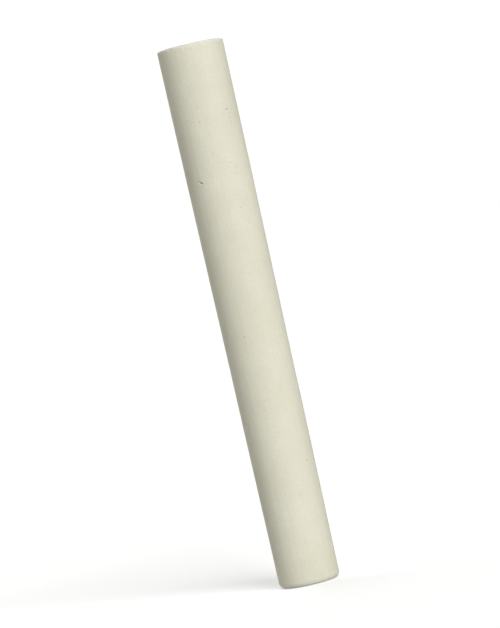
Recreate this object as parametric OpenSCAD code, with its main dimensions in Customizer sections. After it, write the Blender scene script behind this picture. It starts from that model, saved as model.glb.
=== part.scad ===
// A stick of white chalk, cast in one piece.
// It stands on its narrow end, with its axis along +Z, and widens a little towards
// the top, which is the draft that lets it leave the mould. Its section is round.
// The origin is the centre of the flat face that it stands on. Sizes are in millimetres.

/* [Stick] */
// Length, from one flat end to the other
stick_len = 80; // [45:0.5:120]
// Diameter of the side where it meets the plane of the narrow end
narrow_d = 9; // [6:0.1:14]
// Diameter of the side where it meets the plane of the wide end
wide_d = 9.8; // [6:0.1:14]

/* [Rims] */
// Radius of the rim that the closed foot of the mould rounds, at the narrow end
narrow_rim_r = 0.8; // [0.1:0.05:2.5]
// Radius of the rim that is left where the wide end is scraped flat
wide_rim_r = 0.3; // [0.1:0.05:2.5]

/* [Nick] */
// Distance of the nick below the wide end
nick_below_end = 20; // [4:0.5:40]
// Direction of the nick around the axis, in degrees from +X towards +Y
nick_turn = 234; // [0:1:359]
// Radius of the nick's curved floor, which with its depth gives its length
nick_floor_r = 1; // [0.3:0.05:1.5]
// Width of the nick's mouth, across its length
nick_w = 0.35; // [0.2:0.05:1.5]
// Depth of the nick below the side
nick_depth = 0.2; // [0.1:0.05:0.8]
// Slant of the nick, in degrees from level down towards the right
nick_slant = 25; // [0:1:60]

/* [Hidden] */
$fn = 96;
// Short straight steps that stand for the arc of each rim
RIM_STEPS = 8;
// Angle between the side and the axis
draft = atan((wide_d - narrow_d) / (2 * stick_len));
nick_z = stick_len - nick_below_end;

// Radius of the side at height z, before the rims are rounded
function side_r(z) = narrow_d / 2 + z * tan(draft);

// Distance from the axis to the centre of a rim's arc of radius r at height z
function rim_centre_r(z, r) = side_r(z) - r / cos(draft);

// Points along an arc about [x, z], between two angles
function arc(x, z, r, start, end) =
    [for (i = [0 : RIM_STEPS])
        let (a = start + (end - start) * i / RIM_STEPS)
        [x + r * cos(a), z + r * sin(a)]];

// Half of the stick's section: up the side from the narrow end, and back along the axis
function half_section() =
    let (foot_z = narrow_rim_r, head_z = stick_len - wide_rim_r)
    concat(
        [[0, 0]],
        arc(rim_centre_r(foot_z, narrow_rim_r), foot_z, narrow_rim_r, -90, -draft),
        arc(rim_centre_r(head_z, wide_rim_r), head_z, wide_rim_r, -draft, 90),
        [[0, stick_len]]
    );

// Two cones, base to base, whose sharp edge reaches nick_depth into the side
module nick_cutter() {
    cone_h = nick_w / 2 * nick_floor_r / nick_depth;
    translate([side_r(nick_z) - nick_depth + nick_floor_r, 0, nick_z])
        rotate([-nick_slant, 0, 0])
            for (below = [0, 1])
                mirror([0, 0, below])
                    cylinder(h = cone_h, r1 = nick_floor_r, r2 = 0);
}

module chalk_stick() {
    color("#e5e4d0")
        difference() {
            rotate_extrude() polygon(half_section());
            rotate(nick_turn) nick_cutter();
        }
}

chalk_stick();
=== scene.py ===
"""A stick of cast white chalk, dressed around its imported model, on a pale studio floor.

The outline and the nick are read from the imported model. This script adds what casting and
drying leave on real chalk: pinholes from trapped air, faint drag lines from the mould, a
scraped open end and soft, powdery rims. All of it is cut inwards, so the stick keeps its
packed size. Lengths are in metres, and MM turns millimetres into them.
"""

import logging
import math
from collections.abc import Iterable
from dataclasses import dataclass, field
from enum import Enum

import bmesh
import bpy
import numpy as np
from mathutils import Matrix, Vector, noise

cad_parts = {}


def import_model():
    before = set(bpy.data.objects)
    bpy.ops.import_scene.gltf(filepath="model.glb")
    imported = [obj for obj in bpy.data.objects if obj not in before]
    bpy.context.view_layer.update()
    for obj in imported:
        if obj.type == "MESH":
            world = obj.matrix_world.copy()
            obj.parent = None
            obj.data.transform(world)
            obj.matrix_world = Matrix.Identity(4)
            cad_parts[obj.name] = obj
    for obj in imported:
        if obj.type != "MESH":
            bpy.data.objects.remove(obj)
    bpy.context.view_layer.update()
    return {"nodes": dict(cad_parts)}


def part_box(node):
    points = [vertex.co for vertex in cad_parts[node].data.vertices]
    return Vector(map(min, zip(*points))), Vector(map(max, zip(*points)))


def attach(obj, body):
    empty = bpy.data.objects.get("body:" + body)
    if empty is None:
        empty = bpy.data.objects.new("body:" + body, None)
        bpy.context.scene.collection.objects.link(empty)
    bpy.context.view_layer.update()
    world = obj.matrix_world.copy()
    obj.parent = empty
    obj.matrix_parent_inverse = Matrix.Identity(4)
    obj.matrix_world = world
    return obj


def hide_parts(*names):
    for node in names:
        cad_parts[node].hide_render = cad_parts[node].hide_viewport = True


MM = 0.001
# Share of the length, up and down from the middle, in which the side is clear of both rims.
CLEAR_SHARE = 0.4
LOG = logging.getLogger("chalk")


def linear(hex_colour: str) -> tuple[float, float, float, float]:
    """Turn an sRGB colour into the linear one that a shader's socket takes.

    Args:
        hex_colour: The colour, as "#RRGGBB".

    Returns:
        Linear red, green and blue, with an alpha of 1.
    """
    shares = [int(hex_colour[i : i + 2], 16) / 255 for i in (1, 3, 5)]
    rgb = [s / 12.92 if s <= 0.04045 else ((s + 0.055) / 1.055) ** 2.4 for s in shares]
    return rgb[0], rgb[1], rgb[2], 1.0


def add_node(
    tree: bpy.types.NodeTree,
    kind: str,
    settings: dict[str | int, object] | None = None,
    links: dict[str | int, bpy.types.NodeSocket] | None = None,
) -> bpy.types.Node:
    """Add a node with its settings and its incoming links.

    Args:
        tree: The node tree that the node goes into.
        kind: The node's type, such as "ShaderNodeTexNoise".
        settings: Values by name. A number or an input's name sets that input, and any
            other name sets the node's own property.
        links: The output that feeds each input, by the input's name or number.

    Returns:
        The new node.
    """
    node = tree.nodes.new(kind)
    for name, value in (settings or {}).items():
        if isinstance(name, int) or name in node.inputs:
            node.inputs[name].default_value = value
        else:
            setattr(node, name, value)
    for target, source in (links or {}).items():
        tree.links.new(source, node.inputs[target])
    return node


@dataclass(frozen=True)
class Lumps:
    """A smooth random field of lumps and hollows, which makes the cast uneven."""

    # The size of the largest lumps, and how many times they are repeated at half the size.
    size: float
    octaves: int
    # Where in the field to begin, which keeps one use apart from another.
    start: float
    # The way in which the lumps are drawn out, as a unit vector, and how many times as
    # long as they are wide that makes them.
    way: tuple[float, float, float] = (0.0, 0.0, 1.0)
    stretch: float = 1.0

    def at(self, points: np.ndarray) -> np.ndarray:
        """Read the field at many points.

        Args:
            points: Places in metres, one row each.

        Returns:
            A value for each point, mostly from -1 to 1.
        """
        squeezed = points - np.outer(points @ self.way, self.way) * (1 - 1 / self.stretch)
        shifted = squeezed / self.size + self.start
        return np.array([noise.fractal(Vector(p), 1.0, 2.0, self.octaves) for p in shifted])

    def share(self, points: np.ndarray) -> np.ndarray:
        """Read the field at many points as shares, mostly from 0 to 1."""
        return 0.5 + 0.5 * self.at(points)


class End(Enum):
    """One of the stick's two ends."""

    FOOT = "narrow end"
    HEAD = "wide end"


@dataclass(frozen=True)
class Outline:
    """Half of the stick's section: two flat ends, two rounded rims and a straight side."""

    length: float
    foot_side_r: float
    slope: float
    foot_flat_r: float
    head_flat_r: float

    @classmethod
    def from_packed(cls, packed: bpy.types.Object) -> "Outline":
        """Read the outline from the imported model's own vertices.

        Args:
            packed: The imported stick.

        Returns:
            The outline, in metres.
        """
        low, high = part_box(packed.name)
        points = np.array([v.co for v in packed.data.vertices])
        radii, heights = np.hypot(points[:, 0], points[:, 1]), points[:, 2]
        length = high.z - low.z
        clear = np.abs(heights - length / 2) < CLEAR_SHARE * length
        slope, foot_side_r = np.polyfit(heights[clear], radii[clear], 1)
        # The nick is only a small part of the side, and the second fit leaves it out.
        sunk = 0.01 * MM
        outer = clear & (radii > foot_side_r + slope * heights - sunk)
        slope, foot_side_r = np.polyfit(heights[outer], radii[outer], 1)
        tolerance = 0.001 * MM
        return cls(
            length=length,
            foot_side_r=foot_side_r,
            slope=slope,
            foot_flat_r=radii[heights < low.z + tolerance].max(),
            head_flat_r=radii[heights > high.z - tolerance].max(),
        )

    def side_r(self, height: float | np.ndarray) -> float | np.ndarray:
        """Radius of the straight side at a height."""
        return self.foot_side_r + self.slope * height

    def flat_r(self, end: End) -> float:
        """Radius of an end's flat disc, which is also where its rim's arc is centred."""
        return self.foot_flat_r if end is End.FOOT else self.head_flat_r

    def rim_r(self, end: End) -> float:
        """Radius of an end's rounded rim, the arc that touches both the flat and the side.

        Args:
            end: The end whose rim it is.

        Returns:
            The arc's radius.
        """
        steepness = math.hypot(1, self.slope)
        if end is End.FOOT:
            return (self.foot_side_r - self.foot_flat_r) / (steepness - self.slope)
        return (self.side_r(self.length) - self.head_flat_r) / (steepness + self.slope)

    def rim_z(self, end: End) -> float:
        """Height of the centre of a rim's arc."""
        rim_r = self.rim_r(end)
        return rim_r if end is End.FOOT else self.length - rim_r

    def snap(self, points: np.ndarray) -> tuple[np.ndarray, np.ndarray]:
        """Lay points that are near the surface exactly on it.

        Args:
            points: Places near the surface, one row each.

        Returns:
            The places on the surface, and the surface's outward normals there.
        """
        radii, heights = np.hypot(points[:, 0], points[:, 1]), points[:, 2]
        outward = points[:, :2] / np.maximum(radii, 1e-12)[:, None]
        steepness = math.hypot(1, self.slope)
        new_radii, new_heights = self.side_r(heights), heights.copy()
        radial = np.full(len(points), 1 / steepness)
        axial = np.full(len(points), -self.slope / steepness)
        for end, sign in ((End.FOOT, -1.0), (End.HEAD, 1.0)):
            centre_r, centre_z, rim_r = self.flat_r(end), self.rim_z(end), self.rim_r(end)
            beyond = sign * (heights - centre_z) > 0
            flat = beyond & (radii <= centre_r)
            radial[flat], axial[flat] = 0.0, sign
            new_radii[flat] = radii[flat]
            new_heights[flat] = centre_z + sign * rim_r
            rim = beyond & (radii > centre_r)
            away = np.stack([radii[rim] - centre_r, heights[rim] - centre_z], axis=1)
            away /= np.linalg.norm(away, axis=1)[:, None]
            radial[rim], axial[rim] = away[:, 0], away[:, 1]
            new_radii[rim] = centre_r + rim_r * away[:, 0]
            new_heights[rim] = centre_z + rim_r * away[:, 1]
        on_surface = np.column_stack([outward * new_radii[:, None], new_heights])
        normals = np.column_stack([outward * radial[:, None], axial])
        return on_surface, normals

    def rim_distance(self, points: np.ndarray, end: End) -> np.ndarray:
        """Measure how far points are from the ring along the middle of a rim's arc.

        Args:
            points: Places on or near the surface, one row each.
            end: The end whose rim it is.

        Returns:
            The distance of each point.
        """
        sign = -1.0 if end is End.FOOT else 1.0
        halfway = self.rim_r(end) * math.sqrt(0.5)
        ring_r, ring_z = self.flat_r(end) + halfway, self.rim_z(end) + sign * halfway
        return np.hypot(np.hypot(points[:, 0], points[:, 1]) - ring_r, points[:, 2] - ring_z)


@dataclass(frozen=True)
class Nick:
    """The short V-shaped nick across the side, a little out of level."""

    turn: float
    height: float
    depth: float
    # The angle of its length from level, below 0 where it falls towards the right.
    slant: float
    mouth_len: float
    mouth_w: float = 0.35 * MM
    # Its edges wander by this share of its size.
    raggedness: float = 0.25
    edge: Lumps = Lumps(0.16 * MM, octaves=2, start=31.0)

    @classmethod
    def from_packed(cls, packed: bpy.types.Object, outline: Outline) -> "Nick":
        """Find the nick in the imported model: its floor is the deepest line under the side.

        Args:
            packed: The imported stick.
            outline: The outline that the nick is cut into.

        Returns:
            The nick's place, size and slant.
        """
        points = np.array([v.co for v in packed.data.vertices])
        clear = np.abs(points[:, 2] - outline.length / 2) < CLEAR_SHARE * outline.length
        points = points[clear]
        depths = outline.side_r(points[:, 2]) - np.hypot(points[:, 0], points[:, 1])
        middle = points[depths.argmax()]
        turn, height, depth = math.atan2(middle[1], middle[0]), middle[2], depths.max()
        # The floor gets shallower towards both ends, as a parabola.
        deep = depths > depth / 3
        floor, depths = points[deep], depths[deep]
        across = (np.arctan2(floor[:, 1], floor[:, 0]) - turn) * outline.side_r(height)
        slope = np.polyfit(across, floor[:, 2] - height, 1)[0]
        end = np.abs(across).argmax()
        reach = abs(across[end]) * math.hypot(1, slope) / math.sqrt(1 - depths[end] / depth)
        return cls(turn, height, float(depth), math.atan(slope), float(2 * reach))

    def centre(self, outline: Outline) -> np.ndarray:
        """The middle of the nick's mouth, on the side."""
        side = outline.side_r(self.height)
        return np.array([side * math.cos(self.turn), side * math.sin(self.turn), self.height])

    def cut(self, points: np.ndarray) -> np.ndarray:
        """Depth of the nick under each point of the surface.

        Args:
            points: Places on the smooth surface.

        Returns:
            The depth below the smooth surface, and 0 away from the nick.
        """
        turns = np.arctan2(points[:, 1], points[:, 0]) - self.turn
        turns = (turns + math.pi) % (2 * math.pi) - math.pi
        across = turns * np.hypot(points[:, 0], points[:, 1])
        up = points[:, 2] - self.height
        cos, sin = math.cos(self.slant), math.sin(self.slant)
        along = (across * cos + up * sin) / (self.mouth_len / 2)
        beside = np.abs(up * cos - across * sin) / (self.mouth_w / 2)
        ragged = 1 + self.raggedness * self.edge.at(points)
        return self.depth * np.clip(ragged - beside - along**2, 0, 1)


@dataclass(frozen=True)
class Pinholes:
    """Round holes in the surface, each left by a bubble of air in the wet cast."""

    centres: np.ndarray
    radii: np.ndarray
    # How deep a hole is, as a share of its radius, and by what share its edge wanders.
    depth_share: float = 0.55
    raggedness: float = 0.2
    edge: Lumps = Lumps(0.2 * MM, octaves=2, start=57.0)

    @classmethod
    def scatter(cls, outline: Outline, count: int, seed: int) -> "Pinholes":
        """Spread pinholes over the whole stick, most of them very small.

        Args:
            outline: The surface that they lie on.
            count: How many there are.
            seed: The start of the random draws.

        Returns:
            The pinholes.
        """
        draw = np.random.default_rng(seed)
        turns = draw.uniform(0, 2 * math.pi, count)
        # Bubbles rise towards the open end of the mould, so there are more near the head.
        rise = 0.75
        heights = outline.length * draw.uniform(0, 1, count) ** rise
        near = np.column_stack([np.cos(turns), np.sin(turns), np.zeros(count)])
        near *= outline.side_r(heights)[:, None]
        near[:, 2] = heights
        # One in ten lies on the head instead, and within nine tenths of its flat disc.
        head_share, disc_share = 0.1, 0.9
        on_head = draw.uniform(0, 1, count) < head_share
        spread = outline.head_flat_r * np.sqrt(draw.uniform(0, disc_share, count))
        near[on_head, 0] = (spread * np.cos(turns))[on_head]
        near[on_head, 1] = (spread * np.sin(turns))[on_head]
        near[on_head, 2] = outline.length
        centres, _ = outline.snap(near)
        # The power makes large ones rare.
        smallest, largest, rarity = 0.07 * MM, 0.2 * MM, 3
        radii = smallest + (largest - smallest) * draw.uniform(0, 1, count) ** rarity
        return cls(centres, radii)

    def cut(self, points: np.ndarray) -> np.ndarray:
        """Depth of the deepest pinhole under each point of the surface.

        Args:
            points: Places on the smooth surface.

        Returns:
            The depth below the smooth surface, and 0 between the pinholes.
        """
        depths = np.zeros(len(points))
        ragged = 1 + self.raggedness * self.edge.at(points)
        for centre, radius in zip(self.centres, self.radii, strict=True):
            away = np.linalg.norm(points - centre, axis=1) * ragged / radius
            bowl = self.depth_share * radius * np.clip(1 - away**2, 0, 1)
            depths = np.maximum(depths, bowl)
        return depths


@dataclass(frozen=True)
class CastChalk:
    """Gypsum chalk, cast in a metal mould and dried: a dead matt and faintly creamy powder.

    The grains scatter light evenly all ways, so it shades off softly and has no highlight.
    What shows is the fine grain, the open pores, faint lines where the stick slid out of
    the mould, and loose white powder along the rims.
    """

    face_hex: str = "#E6E4D2"
    # Where the cast dried more slowly, it is a little darker and warmer.
    cloud_hex: str = "#D8D6C2"
    # Painted shade: pores, pinholes and the nick are darkened by their depth, as a hollow catches
    # less light.
    painted_hollow_shade_hex: str = "#B5B19C"
    powder_hex: str = "#EFEEE4"
    # Gypsum's index is 1.52, and a bed of its powder is as rough as a surface can be.
    ior: float = 1.52
    roughness: float = 0.97
    specular_level: float = 0.12
    # The slow and the quick patches of drying were about this far apart.
    cloud_mm: float = 8.0
    # The grains are 0.02 mm. They are drawn in clumps of this size, which still show.
    grain_mm: float = 0.28
    # Open pores are this far apart, and the widest mouths are this wide.
    pore_spacing_mm: float = 0.7
    pore_mouth_mm: float = 0.2
    # Drag lines are this wide, and this many times as long.
    drag_mm: float = 0.5
    drag_stretch: float = 40.0
    # The finest relief: how deep a pore is, and how far grain and drag lines stand out.
    pore_depth_mm: float = 0.048
    grain_height_mm: float = 0.016
    drag_height_mm: float = 0.008

    def patterns(self, tree: bpy.types.NodeTree) -> dict[str, bpy.types.NodeSocket]:
        """Add the patterns of the bare surface.

        Args:
            tree: The finish's node tree.

        Returns:
            The share, from 0 to 1, of cloud, grain, pore and drag line at each point.
        """
        place = add_node(tree, "ShaderNodeTexCoord").outputs["Object"]
        cloud = add_node(
            tree,
            "ShaderNodeTexNoise",
            {"Scale": 1 / (self.cloud_mm * MM), "Detail": 3.0, "Roughness": 0.6},
            {"Vector": place},
        )
        grain = add_node(
            tree,
            "ShaderNodeTexNoise",
            {"Scale": 1 / (self.grain_mm * MM), "Detail": 3.0, "Roughness": 0.6},
            {"Vector": place},
        )
        drawn_out = add_node(
            tree,
            "ShaderNodeMapping",
            {"Scale": (1.0, 1.0, 1 / self.drag_stretch)},
            {"Vector": place},
        )
        drag = add_node(
            tree,
            "ShaderNodeTexNoise",
            {"Scale": 1 / (self.drag_mm * MM), "Detail": 2.0, "Roughness": 0.6},
            {"Vector": drawn_out.outputs["Vector"]},
        )
        cells = add_node(
            tree,
            "ShaderNodeTexVoronoi",
            {"Scale": 1 / (self.pore_spacing_mm * MM), "Randomness": 1.0},
            {"Vector": place},
        )
        # Each pore's own width is drawn from its cell's random colour, and few are wide.
        # Widths and distances from a pore's middle are in shares of the spacing.
        widest = self.pore_mouth_mm / self.pore_spacing_mm / 2
        narrowest = widest / 4
        draw = add_node(tree, "ShaderNodeSeparateColor", links={"Color": cells.outputs["Color"]})
        few_wide = add_node(
            tree,
            "ShaderNodeMath",
            {"operation": "POWER", 1: 3.0},
            {0: draw.outputs["Red"]},
        )
        own_mouth = add_node(
            tree,
            "ShaderNodeMath",
            {"operation": "MULTIPLY_ADD", 1: widest - narrowest, 2: narrowest},
            {0: few_wide.outputs[0]},
        )
        away = add_node(
            tree,
            "ShaderNodeMath",
            {"operation": "DIVIDE"},
            {0: cells.outputs["Distance"], 1: own_mouth.outputs[0]},
        )
        # A pore's wall slopes inwards from the mouth's edge, at 1, to a flat floor, at 0.4.
        pore = add_node(
            tree,
            "ShaderNodeMapRange",
            {"From Min": 1.0, "From Max": 0.4, "To Min": 0.0, "To Max": 1.0},
            {"Value": away.outputs[0]},
        )
        # The pore's share sets its bump and also its painted shade.
        shares = {"pore": pore.outputs["Result"]}
        # Nearly all of a noise texture's values lie between these two.
        lowest, highest = 0.32, 0.68
        for name, source in (("cloud", cloud), ("grain", grain), ("drag", drag)):
            spread = add_node(
                tree,
                "ShaderNodeMapRange",
                {"From Min": lowest, "From Max": highest, "To Min": 0.0, "To Max": 1.0},
                {"Value": source.outputs["Fac"]},
            )
            shares[name] = spread.outputs["Result"]
        return shares

    def material(self) -> bpy.types.Material:
        """Make the finish, which reads the mesh's painted shade in hollows and its powder.

        Returns:
            The material.
        """
        material = bpy.data.materials.new("cast_chalk")
        material.use_nodes = True
        tree = material.node_tree
        tree.nodes.clear()
        shares = self.patterns(tree)
        for name in ("hollow_shade", "powder"):
            value = add_node(tree, "ShaderNodeAttribute", {"attribute_name": name})
            shares[name] = value.outputs["Fac"]
        colour = add_node(tree, "ShaderNodeRGB")
        colour.outputs["Color"].default_value = linear(self.face_hex)
        shade = colour.outputs["Color"]
        # What is painted over the face colour, in this order, and how strongly. The pore and
        # hollow layers are painted shade, darker where they are deeper.
        for name, strength, hex_colour in (
            ("cloud", 0.8, self.cloud_hex),
            ("drag", 0.3, self.cloud_hex),
            ("grain", 0.7, self.cloud_hex),
            # Painted shade in the pores, from their depth.
            ("pore", 0.8, self.painted_hollow_shade_hex),
            ("powder", 0.9, self.powder_hex),
            # Painted shade in the pinholes and the nick.
            ("hollow_shade", 1.0, self.painted_hollow_shade_hex),
        ):
            share = add_node(
                tree,
                "ShaderNodeMath",
                {"operation": "MULTIPLY", 1: strength},
                {0: shares[name]},
            )
            layer = add_node(
                tree,
                "ShaderNodeMix",
                {"data_type": "RGBA", 7: linear(hex_colour)},
                {"Factor": share.outputs[0], 6: shade},
            )
            shade = layer.outputs[2]
        # The height of the relief in millimetres, from the floor of a pore upwards.
        height = add_node(
            tree,
            "ShaderNodeMath",
            {"operation": "MULTIPLY_ADD", 1: -self.pore_depth_mm, 2: self.pore_depth_mm},
            {0: shares["pore"]},
        ).outputs[0]
        for name, height_mm in (("grain", self.grain_height_mm), ("drag", self.drag_height_mm)):
            height = add_node(
                tree,
                "ShaderNodeMath",
                {"operation": "MULTIPLY_ADD", 1: height_mm},
                {0: shares[name], 2: height},
            ).outputs[0]
        bump = add_node(
            tree,
            "ShaderNodeBump",
            {"Strength": 1.0, "Distance": MM},
            {"Height": height},
        )
        surface = add_node(
            tree,
            "ShaderNodeBsdfPrincipled",
            {
                "Roughness": self.roughness,
                "IOR": self.ior,
                "Specular IOR Level": self.specular_level,
            },
            {"Base Color": shade, "Normal": bump.outputs["Normal"]},
        )
        add_node(
            tree,
            "ShaderNodeOutputMaterial",
            links={"Surface": surface.outputs["BSDF"]},
        )
        return material


@dataclass
class ChalkStick:
    """The cast stick: its smooth form, and the small marks that are cut into it."""

    packed: bpy.types.Object
    body: str = "root"
    # Cells around one quarter of the stick, and so across each end.
    quarter_cells: int = 20
    # Steps along the arc of each rim, before cells are split.
    rim_steps: int = 5
    # Rounds in which cells are split, and how many times too large a split cell is.
    split_rounds: int = 4
    split_over: float = 1.25
    # Largest cells on the side, on the scraped head, along the rims and in the nick, and
    # in a pinhole as a share of its radius.
    side_cell: float = 0.5 * MM
    head_cell: float = 0.17 * MM
    rim_cell: float = 0.11 * MM
    nick_cell: float = 0.05 * MM
    pinhole_cell: float = 0.3
    # How far such fine cells reach: from the middle of a rim's arc, from the middle of the
    # nick in shares of its length, and from the middle of a pinhole in its radii.
    rim_reach: float = 0.45 * MM
    nick_reach: float = 0.6
    pinhole_reach: float = 1.5
    # How fast cells may grow with the distance beyond that.
    cell_growth: float = 0.45
    pinhole_count: int = 90
    seed: int = 371
    # Depths of the relief, from the smooth form inwards: slow waves left by shrinking, drag
    # lines up the side, crumbs lost from the rims, and marks of the blade that scraped the
    # head flat, which was drawn over it at 53 degrees from +X towards +Y.
    wave: Lumps = Lumps(14 * MM, octaves=2, start=3.0)
    wave_depth: float = 0.04 * MM
    drag: Lumps = Lumps(0.7 * MM, octaves=2, start=11.0, stretch=50.0)
    drag_depth: float = 0.008 * MM
    crumbs: Lumps = Lumps(0.55 * MM, octaves=3, start=19.0)
    crumb_depth: dict[End, float] = field(
        default_factory=lambda: {End.FOOT: 0.04 * MM, End.HEAD: 0.12 * MM}
    )
    # How far crumbs and powder reach from the middle of a rim's arc.
    crumb_reach: float = 0.4 * MM
    # Share of the powder that lies on all of a rim. The rest is where crumbs have gone.
    even_powder: float = 0.35
    scrape: Lumps = Lumps(
        0.45 * MM,
        octaves=3,
        start=43.0,
        way=(math.cos(math.radians(53)), math.sin(math.radians(53)), 0.0),
        stretch=18.0,
    )
    scrape_depth: float = 0.19 * MM
    # Painted shade: a pinhole this deep is painted as dark as it gets. The nick is open and lets
    # in more light, so its painted shade counts for less.
    full_shade_depth: float = 0.12 * MM
    nick_shade_share: float = 0.4
    outline: Outline = field(init=False)
    nick: Nick = field(init=False)
    pinholes: Pinholes = field(init=False)

    def __post_init__(self) -> None:
        """Read the outline and the nick, and scatter the pinholes."""
        self.outline = Outline.from_packed(self.packed)
        self.nick = Nick.from_packed(self.packed, self.outline)
        self.pinholes = Pinholes.scatter(self.outline, self.pinhole_count, self.seed)

    def disc_rows(self, end: End) -> Iterable[list[tuple[float, float, float]]]:
        """Lay a square grid over an end's flat disc, so that its cells are all alike.

        Args:
            end: The end whose disc it is.

        Yields:
            The grid's points, row by row.
        """
        cells, disc_r = self.quarter_cells, self.outline.flat_r(end)
        height = 0.0 if end is End.FOOT else self.outline.length
        steps = [2 * i / cells - 1 for i in range(cells + 1)]
        for a in steps:
            row = []
            for b in steps:
                if abs(a) >= abs(b):
                    reach, turn = a, math.pi / 4 * (b / a if a else 0)
                else:
                    reach, turn = b, math.pi / 2 - math.pi / 4 * (a / b)
                x, y = disc_r * reach * math.cos(turn), disc_r * reach * math.sin(turn)
                row.append((x, y, height))
            yield row

    def side_rows(self) -> Iterable[list[tuple[float, float, float]]]:
        """Lay rings up the foot's rim, the side and the head's rim.

        Yields:
            The points of each ring, with the first point again at its end.
        """
        outline, around = self.outline, 4 * self.quarter_cells
        cell = 2 * math.pi * outline.side_r(outline.length / 2) / around
        stations = []
        for end, start, stop in ((End.FOOT, -90, 0), (End.HEAD, 0, 90)):
            for i in range(self.rim_steps + 1):
                angle = math.radians(start + (stop - start) * i / self.rim_steps)
                reach = outline.flat_r(end) + outline.rim_r(end) * math.cos(angle)
                stations.append((reach, outline.rim_z(end) + outline.rim_r(end) * math.sin(angle)))
        low_z, high_z = outline.rim_z(End.FOOT), outline.rim_z(End.HEAD)
        count = round((high_z - low_z) / cell)
        between = [low_z + (high_z - low_z) * i / count for i in range(1, count)]
        rim = self.rim_steps + 1
        stations[rim:rim] = [(outline.side_r(z), z) for z in between]
        turns = [2 * math.pi * (i / around - 1 / 8) for i in range(around + 1)]
        for reach, height in stations:
            yield [(reach * math.cos(t), reach * math.sin(t), height) for t in turns]

    def blank(self) -> bmesh.types.BMesh:
        """Make the smooth form in even cells: a disc, a tube and a disc, joined.

        Returns:
            The form, with its normals outwards.
        """
        form = bmesh.new()
        for rows, inwards in (
            (self.disc_rows(End.FOOT), True),
            (self.side_rows(), True),
            (self.disc_rows(End.HEAD), False),
        ):
            grid = [[form.verts.new(point) for point in row] for row in rows]
            for below, above in zip(grid, grid[1:]):
                for i in range(len(below) - 1):
                    corners = [below[i], below[i + 1], above[i + 1], above[i]]
                    form.faces.new(corners if not inwards else corners[::-1])
        bmesh.ops.remove_doubles(form, verts=form.verts, dist=0.001 * MM)
        bmesh.ops.recalc_face_normals(form, faces=form.faces)
        return form

    def cell_size(self, points: np.ndarray) -> np.ndarray:
        """Largest cell that still draws what is at each point.

        Args:
            points: Places on the surface.

        Returns:
            The size of a cell's side.
        """
        outline, nick = self.outline, self.nick
        size = np.full(len(points), self.side_cell)
        on_head = points[:, 2] > outline.length - 0.01 * MM
        size[on_head] = self.head_cell
        # Each mark has a distance from every point, a reach and the largest cell within it.
        marks = [
            (outline.rim_distance(points, end), self.rim_reach, self.rim_cell) for end in End
        ]
        away = np.linalg.norm(points - nick.centre(outline), axis=1)
        marks.append((away, self.nick_reach * nick.mouth_len, self.nick_cell))
        for centre, radius in zip(self.pinholes.centres, self.pinholes.radii, strict=True):
            away = np.linalg.norm(points - centre, axis=1)
            marks.append((away, self.pinhole_reach * radius, self.pinhole_cell * radius))
        for away, reach, cell in marks:
            size = np.minimum(size, cell + self.cell_growth * np.maximum(away - reach, 0))
        return size

    def split_cells(self, form: bmesh.types.BMesh) -> None:
        """Split the cells that are too large for their place, and lay them on the surface.

        Args:
            form: The smooth form, which is changed in place.
        """
        for _ in range(self.split_rounds):
            centres = np.array([f.calc_center_median() for f in form.faces])
            sides = np.sqrt([f.calc_area() for f in form.faces])
            large = sides > self.split_over * self.cell_size(centres)
            edges = {e for f, split in zip(form.faces, large) if split for e in f.edges}
            if not edges:
                break
            bmesh.ops.subdivide_edges(
                form, edges=sorted(edges, key=lambda e: e.index), cuts=1, use_grid_fill=True
            )
            points, _ = self.outline.snap(np.array([v.co for v in form.verts]))
            for vertex, point in zip(form.verts, points, strict=True):
                vertex.co = point
            form.edges.index_update()

    def relief(self, points: np.ndarray, normals: np.ndarray) -> dict[str, np.ndarray]:
        """Work out the marks at each point of the smooth surface.

        Args:
            points: Places on the smooth surface.
            normals: The smooth surface's normals there.

        Returns:
            The depth of the surface below the smooth form, the share from 0 to 1 of painted
            shade in a hollow, and the share of loose powder.
        """
        on_side = np.hypot(normals[:, 0], normals[:, 1])
        depth = on_side * self.wave_depth * self.wave.share(points)
        depth += on_side * self.drag_depth * self.drag.share(points)
        # A little has crumbled nearly everywhere along a rim, and in a few places far more.
        usual, swing, even = 0.25, 0.9, self.even_powder
        crumbs = np.clip(usual + swing * self.crumbs.at(points), 0, 1)
        powder = np.zeros(len(points))
        for end in End:
            near = np.exp(-((self.outline.rim_distance(points, end) / self.crumb_reach) ** 2))
            depth += near * crumbs * self.crumb_depth[end]
            powder = np.maximum(powder, near * (even + (1 - even) * crumbs))
        on_head = np.clip(normals[:, 2], 0, 1)
        depth += on_head * self.scrape_depth * self.scrape.share(points)
        hole, nick = self.pinholes.cut(points), self.nick.cut(points)
        # Painted shade in the pinholes and the nick: the deeper they are, the darker.
        hollow_shade = np.clip(np.maximum(hole, self.nick_shade_share * nick) / self.full_shade_depth, 0, 1)
        depth = np.clip(depth, 0, None) + np.maximum(hole, nick)
        return {"depth": depth, "hollow_shade": hollow_shade, "powder": powder}

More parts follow.
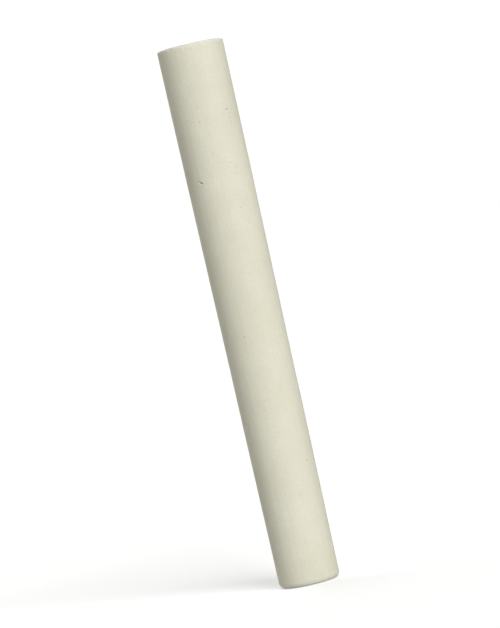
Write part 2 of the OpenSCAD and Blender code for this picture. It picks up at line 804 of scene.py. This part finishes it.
    def build(self) -> bpy.types.Object:
        """Make the stick's mesh, with its marks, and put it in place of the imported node.

        Returns:
            The dressed stick.
        """
        form = self.blank()
        self.split_cells(form)
        crowded = [f for f in form.faces if len(f.verts) > 4]
        bmesh.ops.triangulate(form, faces=crowded)
        points, normals = self.outline.snap(np.array([v.co for v in form.verts]))
        marks = self.relief(points, normals)
        for vertex, point in zip(form.verts, points - normals * marks["depth"][:, None]):
            vertex.co = point
        mesh = bpy.data.meshes.new("chalk_stick_cast")
        form.to_mesh(mesh)
        form.free()
        mesh.shade_smooth()
        for name in ("hollow_shade", "powder"):
            mesh.attributes.new(name, "FLOAT", "POINT").data.foreach_set(
                "value", marks[name].astype(np.float32)
            )
        stick = bpy.data.objects.new("chalk_stick_cast", mesh)
        bpy.context.scene.collection.objects.link(stick)
        mesh.materials.append(CastChalk().material())
        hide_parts(self.packed.name)
        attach(stick, self.body)
        return stick


def seen_ray(tree: bpy.types.NodeTree) -> bpy.types.NodeSocket:
    """Add the test for what is seen straight on, in a reflection or through glass.

    Args:
        tree: The node tree that asks.

    Returns:
        An output that is 1 for such a ray, and 0 for one that only carries light.
    """
    path = add_node(tree, "ShaderNodeLightPath")
    seen = path.outputs["Is Camera Ray"]
    for kind in ("Is Glossy Ray", "Is Transmission Ray"):
        seen = add_node(
            tree,
            "ShaderNodeMath",
            {"operation": "MAXIMUM"},
            {0: seen, 1: path.outputs[kind]},
        ).outputs[0]
    return seen


@dataclass(frozen=True)
class FloorPaper:
    """Seamless pale studio paper: matt, with no texture, and seen brighter than it is lit.

    The glow takes it out to plain white, and leaves the stick's shadow on it.
    """

    paper_hex: str = "#E2E2E0"
    # How strong the glow is. It is only seen, and lights nothing.
    glow: float = 0.42

    def material(self) -> bpy.types.Material:
        """Make the finish, with a glow that is seen and lights nothing.

        Returns:
            The material.
        """
        material = bpy.data.materials.new("studio_paper")
        material.use_nodes = True
        tree = material.node_tree
        tree.nodes.clear()
        seen = seen_ray(tree)
        paper = add_node(tree, "ShaderNodeBsdfDiffuse", {"Color": linear(self.paper_hex)})
        strength = add_node(
            tree,
            "ShaderNodeMath",
            {"operation": "MULTIPLY", 1: self.glow},
            {0: seen},
        )
        glow = add_node(
            tree,
            "ShaderNodeEmission",
            {"Color": (1.0, 1.0, 1.0, 1.0)},
            {"Strength": strength.outputs[0]},
        )
        both = add_node(
            tree, "ShaderNodeAddShader", links={0: paper.outputs[0], 1: glow.outputs[0]}
        )
        add_node(tree, "ShaderNodeOutputMaterial", links={"Surface": both.outputs[0]})
        return material


@dataclass(frozen=True)
class Lamp:
    """A broad lamp far off, which lights everything from one side."""

    name: str
    # Its way round the stick, from straight in front towards the right, and its height.
    turn: float
    elevation: float
    # How wide it looks from the stick. A wide lamp gives a soft shadow.
    spread: float
    strength: float

    def add(self) -> None:
        """Hang the lamp."""
        light = bpy.data.lights.new(self.name, "SUN")
        light.energy, light.angle = self.strength, self.spread
        holder = bpy.data.objects.new(self.name, light)
        turned = Matrix.Rotation(self.turn, 4, "Z")
        holder.matrix_world = turned @ Matrix.Rotation(math.pi / 2 - self.elevation, 4, "X")
        bpy.context.scene.collection.objects.link(holder)


@dataclass
class Studio:
    """The pale floor, the soft light and the camera."""

    # The lowest and the highest corner of the stick's box.
    low: Vector
    high: Vector
    # The camera is almost level with the stick, as far off as an arm's length, and turned
    # about its own axis so that the stick leans to the left.
    camera_distance: float = 463 * MM
    camera_elevation: float = math.radians(1.66)
    camera_roll: float = math.radians(12.65)
    # Share of the picture's height that the stick takes up.
    fill_share: float = 0.88
    # Nearest that the camera sees, which is well short of the stick.
    clip_start: float = 10 * MM
    # Width of the floor in metres, which runs past the picture in every view.
    floor_size: float = 12.0
    # The key stands to the right of the camera. The back lamp faces it, and lights only the
    # side that the key leaves dark.
    key: Lamp = Lamp(
        "key",
        turn=math.radians(25),
        elevation=math.radians(32),
        spread=math.radians(32),
        strength=2.65,
    )
    back: Lamp = Lamp(
        "back",
        turn=math.radians(205),
        elevation=math.radians(30),
        spread=math.radians(60),
        strength=1.65,
    )
    fill_level: float = 0.10
    # Just over plain white, which keeps the backdrop white where noise is smoothed.
    white_level: float = 1.03

    def add_floor(self) -> None:
        """Lay the paper just under the stick."""
        gap, half = 0.02 * MM, self.floor_size / 2
        corners = [(-half, -half), (half, -half), (half, half), (-half, half)]
        mesh = bpy.data.meshes.new("floor")
        mesh.from_pydata([(x, y, self.low.z - gap) for x, y in corners], [], [(0, 1, 2, 3)])
        mesh.materials.append(FloorPaper().material())
        floor = bpy.data.objects.new("floor", mesh)
        bpy.context.scene.collection.objects.link(floor)

    def add_light(self) -> None:
        """Light the stick with two broad lamps and an even fill, and show white behind it."""
        self.key.add()
        self.back.add()
        world = bpy.data.worlds.new("studio")
        world.use_nodes = True
        tree = world.node_tree
        tree.nodes.clear()
        fill = add_node(
            tree,
            "ShaderNodeBackground",
            {"Color": (1.0, 1.0, 1.0, 1.0), "Strength": self.fill_level},
        )
        white = add_node(
            tree,
            "ShaderNodeBackground",
            {"Color": (1.0, 1.0, 1.0, 1.0), "Strength": self.white_level},
        )
        mixed = add_node(
            tree,
            "ShaderNodeMixShader",
            links={0: seen_ray(tree), 1: fill.outputs[0], 2: white.outputs[0]},
        )
        add_node(tree, "ShaderNodeOutputWorld", links={"Surface": mixed.outputs[0]})
        bpy.context.scene.world = world

    def add_camera(self) -> None:
        """Aim the camera at the middle of the stick, and roll it."""
        middle = (self.low + self.high) / 2
        out = Vector((0, -math.cos(self.camera_elevation), math.sin(self.camera_elevation)))
        camera = bpy.data.cameras.new("camera")
        length, width = self.high.z - self.low.z, self.high.x - self.low.x
        lean = self.camera_roll
        shown = length * math.cos(lean) + width * math.sin(lean)
        # The sensor's width lies along the picture's longer side, which is its height.
        camera.lens = camera.sensor_width * self.camera_distance / (shown / self.fill_share)
        camera.clip_start = self.clip_start
        holder = bpy.data.objects.new("camera", camera)
        level = out.to_track_quat("Z", "Y").to_matrix().to_4x4()
        roll = Matrix.Rotation(-lean, 4, "Z")
        place = Matrix.Translation(middle + out * self.camera_distance)
        holder.matrix_world = place @ level @ roll
        bpy.context.scene.collection.objects.link(holder)
        bpy.context.scene.camera = holder

    def build(self) -> None:
        """Set up the floor, the light, the camera and the plain view transform."""
        self.add_floor()
        self.add_light()
        self.add_camera()
        bpy.context.scene.view_settings.view_transform = "Standard"


def main() -> None:
    """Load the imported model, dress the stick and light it."""
    logging.basicConfig(level=logging.INFO, format="%(name)s: %(message)s")
    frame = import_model()
    low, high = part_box("chalk_stick")
    Studio(low, high).build()
    stick = ChalkStick(frame["nodes"]["chalk_stick"])
    piece = stick.build()
    LOG.info("%s: %d cells", piece.name, len(piece.data.polygons))
    LOG.info("nick: %.2f mm long, %.2f mm deep", stick.nick.mouth_len / MM, stick.nick.depth / MM)
    LOG.info("pinholes: %d", len(stick.pinholes.radii))


if __name__ == "__main__":
    main()
